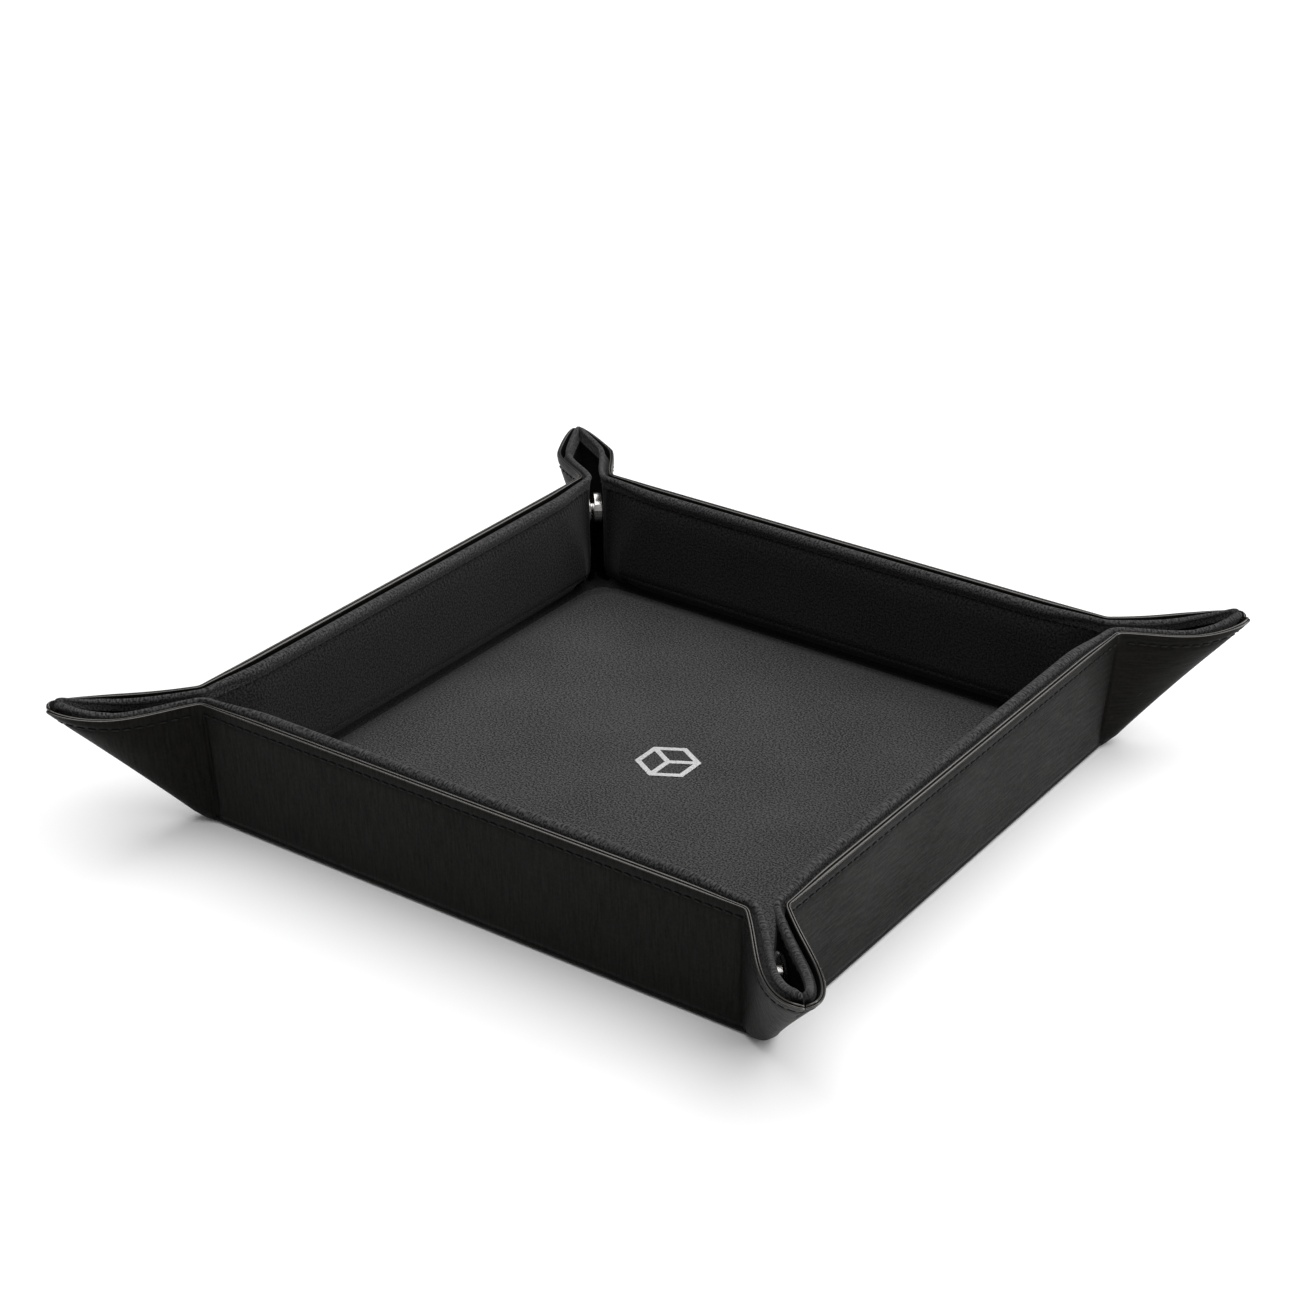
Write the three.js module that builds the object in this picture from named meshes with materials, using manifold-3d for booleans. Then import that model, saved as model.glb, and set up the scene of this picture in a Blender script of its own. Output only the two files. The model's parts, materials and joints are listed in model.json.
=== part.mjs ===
// A square folding dice tray: a lined leather mat whose four walls stand up when the
// corners are pinched together by snap fasteners. Millimetres, +Z up, origin at the
// middle of the underside. It is drawn snapped up, which is its rest pose.

import * as THREE from 'three';
import { mergeVertices } from 'three/addons/utils/BufferGeometryUtils.js';
import Module from 'manifold-3d';

// ---- driving dimensions -------------------------------------------------------------

const BASE_HALF = 97.5;       // outer face of a wall where it meets the table
const RIM_HALF = 100;         // outer face of a wall at its rim
const HEIGHT = 40;            // outer edge of the rim above the table
const CREASE_AT_BASE = 91;    // crease between a wall and its ears, from the wall's middle
const CREASE_AT_RIM = 92;
const EAR_FOLD = Math.PI * 48 / 180; // an ear half turns this far out of its wall's plane

const GAP = 0.3;              // clearance between neighbouring pieces
const LEATHER = 1.2;
const WALL_BOARD = 1.8;
const WALL_FOAM = 1.6;
const LINING = 1.5;
const BASE_BOARD = 2.0;
const FLOOR_LINING = 1.4;

const BASE_BOARD_HALF = 85;
const FLOOR_LINING_HALF = 87;
const PANEL_CORNER = 4;       // corner radius of the base's flat pieces

const EAR_FOOT = 3.6;         // up the pattern from the base hinge, clear of the table
const EAR_LINING_FOOT = 4;
const EDGE_FOLD = Math.PI * 50 / 180; // the strip at an ear's folded edge turns this far back
const STRIP_FOOT = 1.5;       // that strip starts nearer the hinge
const FOLD_AT_BASE = 4.71;    // and widens from its foot to the rim
const FOLD_AT_RIM = 8.23;
const DIAGONAL_GAP = 0.5;     // from a strip to the corner's diagonal in the flat mat
const TIP_RADIUS = 4;         // the mat's corners are rounded off

const SNAP_FROM_CREASE = 8.2; // centre of a snap along the ear, from the crease
const SNAP_UP = 24.5;         // and up the ear from the base hinge
const SNAP_RADIUS = 5.5;
const STUD_FLANGE = 1.0;
const STUD_NUB_RADIUS = 1.9;
const STUD_NUB_LENGTH = 2.2;
const SOCKET_THICKNESS = 2.8;
const SOCKET_BORE_RADIUS = 2.4;
const SOCKET_BACK_WALL = 0.6;
const STEM_RADIUS = 1.2;
const STEM_BORE_RADIUS = 1.5;
const RIVET_HEAD_RADIUS = 4;
const RIVET_HEAD = 0.5;
const EDGE_BREAK = 0.35;      // chamfer on the snaps' rims
const ROUND_STEPS = 32;

const MOTIF_RADIUS = 10;      // a plain cube outline in foil on the floor
const MOTIF_STROKE = 1.7;
const MOTIF_THICKNESS = 0.15;
const MOTIF_GAP = 0.05;

const WALLS = ['back', 'left', 'front', 'right'];   // each a quarter turn from the last
const CORNERS = ['br', 'bl', 'fl', 'fr'];           // corner at each wall's own right end

// ---- worked out from them -----------------------------------------------------------

const lean = Math.atan((RIM_HALF - BASE_HALF) / HEIGHT);
const wallFold = Math.PI / 2 - lean;                // from flat on the table to snapped up
const hingeHeight = LEATHER / 2;                    // hinges run in the leather's mid-plane
const cornerTangent = hingeHeight * Math.tan(Math.PI / 4 - lean / 2);
const hingeHalf = BASE_HALF - cornerTangent;
const wallTop = HEIGHT / Math.cos(lean) - cornerTangent;

const creaseSlope = (CREASE_AT_RIM - CREASE_AT_BASE) / HEIGHT;
const creaseFoot = CREASE_AT_BASE + creaseSlope * hingeHeight;
const creaseAt = (up) => creaseFoot + creaseSlope * up;

// Levels through a wall's thickness, from the leather's mid-plane towards the inside.
const boardFrom = LEATHER / 2 + GAP;
const foamFrom = boardFrom + WALL_BOARD + GAP;
const wallLiningFrom = foamFrom + WALL_FOAM + GAP;
const earLiningFrom = LEATHER / 2 + GAP;
const snapFrom = earLiningFrom + LINING + GAP;

// ---- materials ----------------------------------------------------------------------

function finish(color, roughness, metalness) {
  return () => new THREE.MeshStandardMaterial({ color, roughness, metalness });
}

const leather = finish(0x15130f, 0.5, 0);
const board = finish(0x6f6a60, 0.9, 0);
const foam = finish(0x3a3a3a, 0.95, 0);
const lining = finish(0x2b2c2f, 0.95, 0);
const nickel = finish(0xd6d6d2, 0.25, 1);
const foil = finish(0xc9cacb, 0.35, 1);

// ---- helpers ------------------------------------------------------------------------

function addMesh(parent, name, geometry, material) {
  const mesh = new THREE.Mesh(geometry, material());
  mesh.name = name;
  parent.add(mesh);
  return mesh;
}

// A flat sheet from its outline, between two levels of its own thickness.
function sheet(shape, from, thickness) {
  const geometry = new THREE.ExtrudeGeometry(shape, { depth: thickness, bevelEnabled: false });
  return geometry.translate(0, 0, from);
}

function outline(points) {
  return new THREE.Shape(points.map(([x, y]) => new THREE.Vector2(x, y)));
}

function roundedSquare(half, radius) {
  const shape = new THREE.Shape();
  const centres = [[1, 1], [-1, 1], [-1, -1], [1, -1]];
  centres.forEach(([sx, sy], quarter) => {
    const start = quarter * Math.PI / 2;
    shape.absarc(sx * (half - radius), sy * (half - radius), radius, start, start + Math.PI / 2);
  });
  shape.closePath();
  return shape;
}

function lathe(profile) {
  const points = profile.map(([radius, level]) => new THREE.Vector2(radius, level));
  return new THREE.LatheGeometry(points, ROUND_STEPS).rotateX(Math.PI / 2);
}

const wasm = await Module();
wasm.setup();

function toSolid(geometry) {
  const bare = geometry.clone();
  bare.deleteAttribute('normal');
  bare.deleteAttribute('uv');
  const merged = mergeVertices(bare, 1e-4);
  return new wasm.Manifold(new wasm.Mesh({
    numProp: 3,
    vertProperties: new Float32Array(merged.attributes.position.array),
    triVerts: new Uint32Array(merged.index.array),
  }));
}

function toGeometry(solid) {
  const mesh = solid.getMesh();
  const geometry = new THREE.BufferGeometry();
  geometry.setAttribute('position', new THREE.BufferAttribute(mesh.vertProperties, 3));
  geometry.setIndex(new THREE.BufferAttribute(mesh.triVerts, 1));
  geometry.computeVertexNormals();
  return geometry;
}

// ---- base ---------------------------------------------------------------------------

function addBase(tray) {
  const leatherHalf = hingeHalf - LEATHER / 2 - GAP;
  const boardLevel = LEATHER + GAP;
  const liningLevel = boardLevel + BASE_BOARD + GAP;
  const motifLevel = liningLevel + FLOOR_LINING + MOTIF_GAP;
  addMesh(tray, 'base_leather', sheet(roundedSquare(leatherHalf, PANEL_CORNER), 0, LEATHER), leather);
  const boardShape = roundedSquare(BASE_BOARD_HALF, PANEL_CORNER);
  addMesh(tray, 'base_board', sheet(boardShape, boardLevel, BASE_BOARD), board);
  const floorShape = roundedSquare(FLOOR_LINING_HALF, PANEL_CORNER);
  addMesh(tray, 'floor_lining', sheet(floorShape, liningLevel, FLOOR_LINING), lining);
  addMesh(tray, 'floor_motif', sheet(cubeOutline(), motifLevel, MOTIF_THICKNESS), foil);
}

// A hexagon with three spokes: a cube seen from a corner.
function cubeOutline() {
  const at = (angle, radius) => [radius * Math.sin(angle), radius * Math.cos(angle)];
  const sixth = Math.PI / 3;
  const shape = outline(Array.from({ length: 6 }, (_, i) => at(-i * sixth, MOTIF_RADIUS)));
  const innerRadius = MOTIF_RADIUS - MOTIF_STROKE / Math.cos(Math.PI / 6);
  const inset = MOTIF_STROKE / 2 / Math.sin(sixth);
  for (let face = 0; face < 3; face += 1) {
    // Each face is a rhombus between two spokes, shrunk by half a stroke on each side.
    const middle = face * 2 * sixth;
    const [cx, cy] = at(middle, inset);
    const reach = innerRadius - inset;
    const rhombus = [
      [cx, cy],
      [cx + at(middle - sixth, reach)[0], cy + at(middle - sixth, reach)[1]],
      [cx + at(middle, reach)[0], cy + at(middle, reach)[1]],
      [cx + at(middle + sixth, reach)[0], cy + at(middle + sixth, reach)[1]],
    ];
    shape.holes.push(new THREE.Path(rhombus.map(([x, y]) => new THREE.Vector2(x, y))));
  }
  return shape;
}

// ---- walls --------------------------------------------------------------------------

// A panel of a wall, in the wall's flat pattern: x along it, y up it from the base hinge.
function wallOutline(foot, top, fromCrease) {
  return outline([
    [-creaseAt(foot) + fromCrease, foot],
    [creaseAt(foot) - fromCrease, foot],
    [creaseAt(top) - fromCrease, top],
    [-creaseAt(top) + fromCrease, top],
  ]);
}

function addWall(wall, name) {
  const skin = wallOutline(0, wallTop, LEATHER / 2 + GAP);
  addMesh(wall, `wall_leather_${name}`, sheet(skin, -LEATHER / 2, LEATHER), leather);
  const stiffener = wallOutline(4, wallTop - 3, 2.5);
  addMesh(wall, `wall_board_${name}`, sheet(stiffener, boardFrom, WALL_BOARD), board);
  const padding = wallOutline(5, wallTop - 4, 4);
  addMesh(wall, `wall_foam_${name}`, sheet(padding, foamFrom, WALL_FOAM), foam);
  const inner = wallOutline(5.5, wallTop - 0.4, 2.6);
  addMesh(wall, `wall_lining_${name}`, sheet(inner, wallLiningFrom, LINING), lining);
}

// ---- ears ---------------------------------------------------------------------------

// A point of the wall's pattern, so far up it and so far short of the corner's diagonal.
const shortOfDiagonal = (up, distance) => [hingeHalf + up - distance * Math.SQRT2, up];

const foldFoot = shortOfDiagonal(STRIP_FOOT, FOLD_AT_BASE + DIAGONAL_GAP);
const foldHead = shortOfDiagonal(wallTop, FOLD_AT_RIM + DIAGONAL_GAP);

// A group hinged on the line between two points of its parent's pattern and turned about
// it. Its y axis runs along the line, and toLocal carries a pattern point into it.
function hinged(parent, foot, head, turn) {
  const tilt = Math.atan2(head[0] - foot[0], head[1] - foot[1]);
  const group = new THREE.Group();
  group.position.set(foot[0], foot[1], 0);
  group.rotation.set(0, turn, -tilt, 'ZYX');
  parent.add(group);
  const toLocal = ([x, y]) => {
    const across = x - foot[0];
    const along = y - foot[1];
    return [
      across * Math.cos(tilt) - along * Math.sin(tilt),
      across * Math.sin(tilt) + along * Math.cos(tilt),
    ];
  };
  return { group, toLocal };
}

// The flat half of an ear between its crease and its folded edge.
function earPoints(foot, top, fromCrease, fromFold) {
  const widening = (FOLD_AT_RIM - FOLD_AT_BASE) / (wallTop - STRIP_FOOT);
  const foldAt = (up) => DIAGONAL_GAP + FOLD_AT_BASE + widening * (up - STRIP_FOOT);
  return [
    [creaseAt(foot) + fromCrease, foot],
    shortOfDiagonal(foot, foldAt(foot) + fromFold),
    shortOfDiagonal(top, foldAt(top) + fromFold),
    [creaseAt(top) + fromCrease, top],
  ];
}

// The strip beside the diagonal, which ends in the mat's rounded corner.
function foldPoints() {
  const [tipX, tipY] = shortOfDiagonal(wallTop, DIAGONAL_GAP);
  const arc = Array.from({ length: 7 }, (_, i) => Math.PI / 4 * (1 + i / 6));
  return [
    foldFoot,
    shortOfDiagonal(STRIP_FOOT, DIAGONAL_GAP),
    ...arc.map((angle) => [
      tipX - TIP_RADIUS * (1 - Math.cos(angle)),
      tipY - TIP_RADIUS * (1 - Math.sin(angle)),
    ]),
    foldHead,
  ];
}

// The rivet's way through the lining: a pocket for its head and a hole for its stem.
function rivetSeat(side) {
  const pocketTop = earLiningFrom + RIVET_HEAD + GAP;
  const cutter = lathe([
    [0, earLiningFrom - 1],
    [RIVET_HEAD_RADIUS + GAP, earLiningFrom - 1],
    [RIVET_HEAD_RADIUS + GAP, pocketTop],
    [STEM_RADIUS + GAP, pocketTop],
    [STEM_RADIUS + GAP, earLiningFrom + LINING + 1],
    [0, earLiningFrom + LINING + 1],
  ]);
  return cutter.translate(side * SNAP_FROM_CREASE, SNAP_UP, 0);
}

function rivet(tip) {
  const headTop = earLiningFrom + RIVET_HEAD;
  return lathe([
    [0, earLiningFrom],
    [RIVET_HEAD_RADIUS, earLiningFrom],
    [RIVET_HEAD_RADIUS, headTop],
    [STEM_RADIUS, headTop],
    [STEM_RADIUS, tip],
    [0, tip],
  ]);
}

function stud() {
  const flangeTop = snapFrom + STUD_FLANGE;
  const nubTop = flangeTop + STUD_NUB_LENGTH;
  const nubWall = STUD_NUB_RADIUS - STEM_BORE_RADIUS;
  return lathe([
    [STEM_BORE_RADIUS, snapFrom],
    [SNAP_RADIUS, snapFrom],
    [SNAP_RADIUS, flangeTop - EDGE_BREAK],
    [SNAP_RADIUS - EDGE_BREAK, flangeTop],
    [STUD_NUB_RADIUS, flangeTop],
    [STUD_NUB_RADIUS, nubTop - EDGE_BREAK],
    [STUD_NUB_RADIUS - EDGE_BREAK, nubTop],
    [0, nubTop],
    [0, nubTop - nubWall],
    [STEM_BORE_RADIUS, nubTop - nubWall],
    [STEM_BORE_RADIUS, snapFrom],
  ]);
}

function socket() {
  const front = snapFrom + SOCKET_THICKNESS;
  const step = snapFrom + SOCKET_BACK_WALL;
  return lathe([
    [STEM_BORE_RADIUS, snapFrom],
    [SNAP_RADIUS, snapFrom],
    [SNAP_RADIUS, front - EDGE_BREAK],
    [SNAP_RADIUS - EDGE_BREAK, front],
    [SOCKET_BORE_RADIUS, front],
    [SOCKET_BORE_RADIUS, step],
    [STEM_BORE_RADIUS, step],
    [STEM_BORE_RADIUS, snapFrom],
  ]);
}

function addEar(wall, name, corner, side) {
  const onSide = ([x, y]) => [side * x, y];
  const creaseHead = [creaseAt(wallTop), wallTop];
  const ear = hinged(wall, onSide([creaseFoot, 0]), onSide(creaseHead), side * EAR_FOLD);
  const onEar = (point) => ear.toLocal(onSide(point));
  const besideHinge = LEATHER / 2 + GAP;

  const skin = outline(earPoints(EAR_FOOT, wallTop, 0, besideHinge).map(onEar));
  const skinName = `ear_leather_${corner}_${name}`;
  addMesh(ear.group, skinName, sheet(skin, -LEATHER / 2, LEATHER), leather);
  const inner = outline(earPoints(EAR_LINING_FOOT, wallTop - 0.4, GAP, besideHinge).map(onEar));
  const linedBy = toSolid(sheet(inner, earLiningFrom, LINING)).subtract(toSolid(rivetSeat(side)));
  addMesh(ear.group, `ear_lining_${corner}_${name}`, toGeometry(linedBy), lining);

  const fold = hinged(ear.group, onEar(foldFoot), onEar(foldHead), -side * EDGE_FOLD);
  const strip = outline(foldPoints().map((point) => fold.toLocal(onEar(point))));
  const stripName = `ear_fold_leather_${corner}_${name}`;
  addMesh(fold.group, stripName, sheet(strip, -LEATHER / 2, LEATHER), leather);

  // Studs are on the ear halves at the walls' right ends, sockets at their left ends.
  const kind = side > 0 ? 'stud' : 'socket';
  const stemTip = side > 0 ? snapFrom + STUD_FLANGE + 1 : snapFrom + SOCKET_BACK_WALL - 0.1;
  const fastener = addMesh(ear.group, `snap_${kind}_${corner}`, side > 0 ? stud() : socket(), nickel);
  const pin = addMesh(ear.group, `snap_${kind}_rivet_${corner}`, rivet(stemTip), nickel);
  for (const piece of [fastener, pin]) {
    piece.position.set(side * SNAP_FROM_CREASE, SNAP_UP, 0);
  }
}

// ---- assembly -----------------------------------------------------------------------

const tray = new THREE.Group();
addBase(tray);

WALLS.forEach((name, quarter) => {
  const side = new THREE.Group();
  side.rotation.z = quarter * Math.PI / 2;
  tray.add(side);
  const wall = new THREE.Group();
  wall.position.set(0, hingeHalf, hingeHeight);
  wall.rotation.x = wallFold;
  side.add(wall);
  addWall(wall, name);
  addEar(wall, name, CORNERS[quarter], 1);
  addEar(wall, name, CORNERS[(quarter + 1) % 4], -1);
});

export default tray;
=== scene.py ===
import json
import math
import random

import bpy
import numpy as np
from mathutils import Matrix, Quaternion, Vector

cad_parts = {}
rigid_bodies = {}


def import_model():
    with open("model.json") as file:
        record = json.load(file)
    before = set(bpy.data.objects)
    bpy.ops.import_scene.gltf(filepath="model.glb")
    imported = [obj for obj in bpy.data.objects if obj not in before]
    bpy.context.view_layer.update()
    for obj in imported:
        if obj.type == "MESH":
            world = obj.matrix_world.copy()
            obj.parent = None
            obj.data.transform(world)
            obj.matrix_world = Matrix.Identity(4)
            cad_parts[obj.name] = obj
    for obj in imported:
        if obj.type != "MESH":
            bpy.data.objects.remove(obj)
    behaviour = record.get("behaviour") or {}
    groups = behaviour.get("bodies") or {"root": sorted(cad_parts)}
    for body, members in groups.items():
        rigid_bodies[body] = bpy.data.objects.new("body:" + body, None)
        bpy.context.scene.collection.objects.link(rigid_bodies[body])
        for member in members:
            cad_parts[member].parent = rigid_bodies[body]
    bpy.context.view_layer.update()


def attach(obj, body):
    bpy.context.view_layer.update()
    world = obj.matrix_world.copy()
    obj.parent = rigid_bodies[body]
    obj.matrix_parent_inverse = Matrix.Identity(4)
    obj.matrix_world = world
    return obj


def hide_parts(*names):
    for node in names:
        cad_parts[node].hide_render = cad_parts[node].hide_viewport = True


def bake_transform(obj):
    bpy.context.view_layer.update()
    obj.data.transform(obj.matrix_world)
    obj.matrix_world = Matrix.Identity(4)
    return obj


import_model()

# A square folding tray. Every shape is worked out in millimetres for the back wall,
# which faces +Y, and turned a quarter at a time for the other walls. A point of the mat
# is given by its place in the flat pattern (x along the wall, y up it from the base
# fold) and by h, its height above the leather's middle towards the inside.

WALLS = ["back", "left", "front", "right"]
CORNERS = ["br", "bl", "fl", "fr"]

BASE_HALF, RIM_HALF, HEIGHT = 97.5, 100.0, 40.0
LEATHER = 0.6                                     # half the leather's thickness
LEAN = math.atan((RIM_HALF - BASE_HALF) / HEIGHT)
FOLD = math.pi / 2 - LEAN
HINGE = BASE_HALF - LEATHER * math.tan(math.pi / 4 - LEAN / 2)
TOP = HEIGHT / math.cos(LEAN) - LEATHER * math.tan(math.pi / 4 - LEAN / 2)
CREASE_SLOPE = 0.025
EAR_TURN = math.radians(48)
EDGE_TURN = math.radians(50)
ROOT2 = math.sqrt(2)

BEND = 0.8                                        # reach of the rounding at the base fold
CREASE = 1.3                                      # and at the creases
STITCH_DOWN = 3.4                                 # outer seam below the rim
STITCH_PITCH = 3.1
SEAM_DOWN = 4.2                                   # inner seam below the rim
PUCKER_PITCH = 0.00155                            # metres between the puckers under it

BASE_REACH = 8.8                                  # the base's leather bends from here
FOOT = 1.6                                        # the walls' own leather starts here
CUP_TOP = 2.3                                     # the base's leather corners end here
EAR_FOOT = 0.9                                    # the ears' leather starts here, outside those
LINING_FOOT = 8.0                                 # where the lining starts on a wall,
CREASE_LINING_FOOT = 2.8                          # at a crease
EAR_LINING_FOOT = 1.8                             # and in an ear
TURNED_IN, ROUND_THE_ROLL = 5.0, 7.0              # cloth taken up by the leather's edge and the roll
SNAP_OUT, SNAP_UP = 8.2, 24.5                     # the snaps, from the crease and the fold
WALL_END, EAR_START = 8.6, 1.8                    # a crease's own strip, before it and after
TIP_ROUND = 4.0                                   # the flat mat's corners are rounded off
NOOK_END = 90.4                                   # the lining turns up to the walls as far as this

# Each ear's tip out along the diagonal and above the table, how far its sides belly, and
# how much its outline comes to a point, from 0, a round end, to 1, a spade's.
EARS = {
    "br": (38.2, 40.0, 2.5, 0.1),
    "bl": (38.4, 40.0, 4.0, 0.6),
    "fl": (38.2, 40.0, 2.5, 0.1),
    "fr": (38.6, 39.8, 1.9, 0.0),
}


def crease(y):
    return 91.015 + CREASE_SLOPE * y


def diagonal(y):
    return HINGE + y


def smooth(a, b, x):
    t = np.clip((x - a) / (b - a), 0.0, 1.0)
    return t * t * (3 - 2 * t)


def stack(x, y, z):
    return np.stack(np.broadcast_arrays(x, y, z), axis=-1).astype(float)


# ---- the leather's middle surface ---------------------------------------------------

def wall_plane(x, y):
    return stack(x, HINGE + y * math.cos(FOLD), LEATHER + y * math.sin(FOLD))


def wall_surface(x, y):
    """The wall, rounded into the base where y is about zero."""
    up = wall_plane(x, np.maximum(y, BEND))
    flat = stack(x, HINGE + np.minimum(y, -BEND), LEATHER)
    s = np.clip((y + BEND) / (2 * BEND), 0, 1)[..., None]
    corner = stack(x, HINGE + 0 * y, LEATHER)
    start = stack(x, HINGE - BEND + 0 * y, LEATHER)
    end = wall_plane(x, BEND + 0 * y)
    bend = (1 - s) ** 2 * start + 2 * s * (1 - s) * corner + s ** 2 * end
    yy = y[..., None]
    return np.where(yy >= BEND, up, np.where(yy <= -BEND, flat, bend))


def shut(t):
    """How far the closing side has gone out along the diagonal, for its turn t."""
    return ((np.sin(t) + 0.05) ** 0.77 - 0.05 ** 0.77) / (1.05 ** 0.77 - 0.05 ** 0.77)


BOW = np.linspace(0, math.pi / 2, 400)
BOW_STEPS = np.hypot(np.diff(shut(BOW)) * 2.5, np.diff(np.cos(BOW)))
BOW_LENGTH = np.concatenate([[0], np.cumsum(BOW_STEPS)])


def ear_surface(e, y, ear):
    """An ear half: e runs from its crease, 0, to the corner's diagonal, 1."""
    tip_u, tip_z, belly, pointed = ear
    foot = wall_plane(crease(y), y)
    u0 = (foot[..., 0] + foot[..., 1]) / ROOT2 - 100 * ROOT2
    v0 = (foot[..., 1] - foot[..., 0]) / ROOT2
    rise = y / TOP
    u1 = -4.6 + (tip_u - 0.6 + 4.6) * rise
    z1 = 0.6 + (tip_z - 0.6) * rise
    run = np.maximum(u1 - u0, 1.0)
    cap = 1 - 19.4 / run                           # where the sides start to close
    cap = (cap + np.sqrt(cap ** 2 + 0.01)) / 2
    flare = belly * smooth(19, TOP, y)
    sides, bow = run * cap, 1.6 * np.sqrt(((run * (1 - cap)) ** 2 + (v0 + flare) ** 2) / 2)
    turn = sides / (sides + bow)
    part = np.clip((e - turn) / (1 - turn), 0, 1)
    t = np.interp(part, BOW_LENGTH / BOW_LENGTH[-1], BOW)
    along = np.where(e < turn, cap * e / turn, cap + (1 - cap) * shut(t))
    wide = v0 + flare * smooth(0, 0.6, along)
    spade = 1 - (np.sqrt(shut(t) ** 2 + 0.01) - 0.1) / (math.sqrt(1.01) - 0.1)
    v = wide * ((1 - pointed) * np.cos(t) + pointed * spade)
    u = u0 + (u1 - u0) * along
    sag = -1.9 * np.sin(math.pi * np.clip(along, 0, 1) ** 1.15) * smooth(0, 1, rise)
    z = foot[..., 2] + (z1 - foot[..., 2]) * along ** 1.5 + sag
    return stack(100 + (u - v) / ROOT2, 100 + (u + v) / ROOT2, z)


def surface(x, y, ear):
    """The middle of the leather for any point of the right half of a wall's pattern."""
    x, y = np.broadcast_arrays(np.asarray(x, float), np.asarray(y, float))
    c, width = crease(y), np.maximum(diagonal(y) - crease(y), 2.0)
    wall = wall_surface(np.minimum(x, c - CREASE), y)
    e = np.clip((x - c) / width, 0, 1)
    ear_part = ear_surface(np.maximum(e, CREASE / width), y, ear)
    s = np.clip((x - c + CREASE) / (2 * CREASE), 0, 1)[..., None]
    start = wall_surface(c - CREASE, y)
    end = ear_surface(CREASE / width, y, ear)
    bend = (1 - s) ** 2 * start + 2 * s * (1 - s) * wall_surface(c, y) + s ** 2 * end
    d = (x - c)[..., None]
    creased = np.where(d <= -CREASE, wall, np.where(d >= CREASE, ear_part, bend))
    up = smooth(0, FOOT, y)[..., None]
    return wall_surface(x, y) * (1 - up) + creased * up


def place(x, y, h, ears):
    """A point of the mat in the back wall's frame, from its pattern place and height."""
    x, y, h = np.broadcast_arrays(*(np.asarray(a, float) for a in (x, y, h)))
    side = np.where(x < 0, -1.0, 1.0)
    out = np.zeros(x.shape + (3,))
    for sign, ear in ((1.0, ears[0]), (-1.0, ears[1])):
        mask = side == sign
        if not mask.any():
            continue
        ax, ay, ah = np.abs(x[mask]), y[mask], h[mask]
        step = 0.04
        p = surface(ax, ay, ear)
        edge = np.maximum(diagonal(ay), crease(ay) + 2.0)
        over = np.minimum(ax + step, np.maximum(edge, ax - step))
        dx = surface(over, ay, ear) - surface(ax - step, ay, ear)
        dy = surface(ax, ay + step, ear) - surface(ax, ay - step, ear)
        n = np.cross(dx, dy)
        last = ax >= edge - 1e-4
        nv = np.where(last, (n[:, 1] - n[:, 0]) / 2, 0)
        n[:, 0] += nv
        n[:, 1] -= nv
        n /= np.maximum(np.linalg.norm(n, axis=1, keepdims=True), 1e-9)
        p = p + n * ah[:, None]
        inside = ax > crease(ay)
        v = (p[:, 1] - p[:, 0]) / ROOT2
        floor = np.where(last, 0.0, 0.12)
        push = np.where(inside & (v < floor), floor - v, 0) / ROOT2
        push = np.where(last, -v / ROOT2, push)
        p[:, 0] -= push
        p[:, 1] += push
        p[:, 0] *= sign
        out[mask] = p
    return out


# ---- how thick the padding and the rim are ------------------------------------------

def pinch(x, y):
    """(1 in a wall's middle, 0 at its crease; 0 at the crease, 1 inside an ear)"""
    x, y = np.broadcast_arrays(np.abs(np.asarray(x, float)), np.asarray(y, float))
    reach = 9 + 13 * smooth(8, TOP, y)
    e = np.clip((x - crease(y)) / (diagonal(y) - crease(y)), 0, 1)
    return smooth(0, 1, (crease(y) - x) / reach), smooth(0, 0.35, e)


def hem_inside(x, y):
    k, m = pinch(x, y)
    return 0.65 + 0.95 * k + 0.1 * m


def roll_middle(x, y):
    k, m = pinch(x, y)
    return 2.85 + 2.1 * k + 0.55 * m


def roll_radius(x, y):
    k, m = pinch(x, y)
    return 0.92 + 0.8 * k + 0.12 * m


def foot_share(y):
    """How much of the padding is left near the fold, where the wall meets the floor."""
    return np.interp(y, [2.5, 3.4, 4.6, 5.8, 7.0, 8.0], [0.30, 0.46, 0.70, 0.86, 0.96, 1.0])


def pad_face(x, y):
    k, m = pinch(x, y)
    low = np.where(np.abs(x) > crease(y), 0.62 + 0.38 * np.clip(y / TOP, 0, 1), 1.0)
    return (2.9 + 4.2 * k - 0.5 * m) * low * foot_share(y)


def dent(x, y):
    """The leather is pressed in along the creases and swells over the snaps' backs."""
    x = np.abs(x)
    press = 0.7 * np.exp(-((x - crease(y) + 0.55) / 0.68) ** 2)
    press = press * smooth(FOOT, 7, y) * (1 - smooth(TOP - 7, TOP - 2, y))
    swell = 0.55 * np.exp(-((x - crease(y) - SNAP_OUT) ** 2 + (y - SNAP_UP) ** 2) / 42.0)
    return press - swell


def corner_drop(x):
    """How far the rounded corner of the mat falls short of the square one."""
    start = HINGE + TOP - TIP_ROUND
    reach = np.clip(np.abs(x) - start, 0, TIP_ROUND / ROOT2)
    return TIP_ROUND - np.sqrt(TIP_ROUND ** 2 - reach ** 2)


# ---- making meshes ------------------------------------------------------------------

def turned(points, quarter):
    c, s = [(1, 0), (0, 1), (-1, 0), (0, -1)][quarter % 4]
    out = np.array(points, float)
    x, y = out[..., 0].copy(), out[..., 1].copy()
    out[..., 0], out[..., 1] = c * x - s * y, s * x + c * y
    return out


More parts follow.
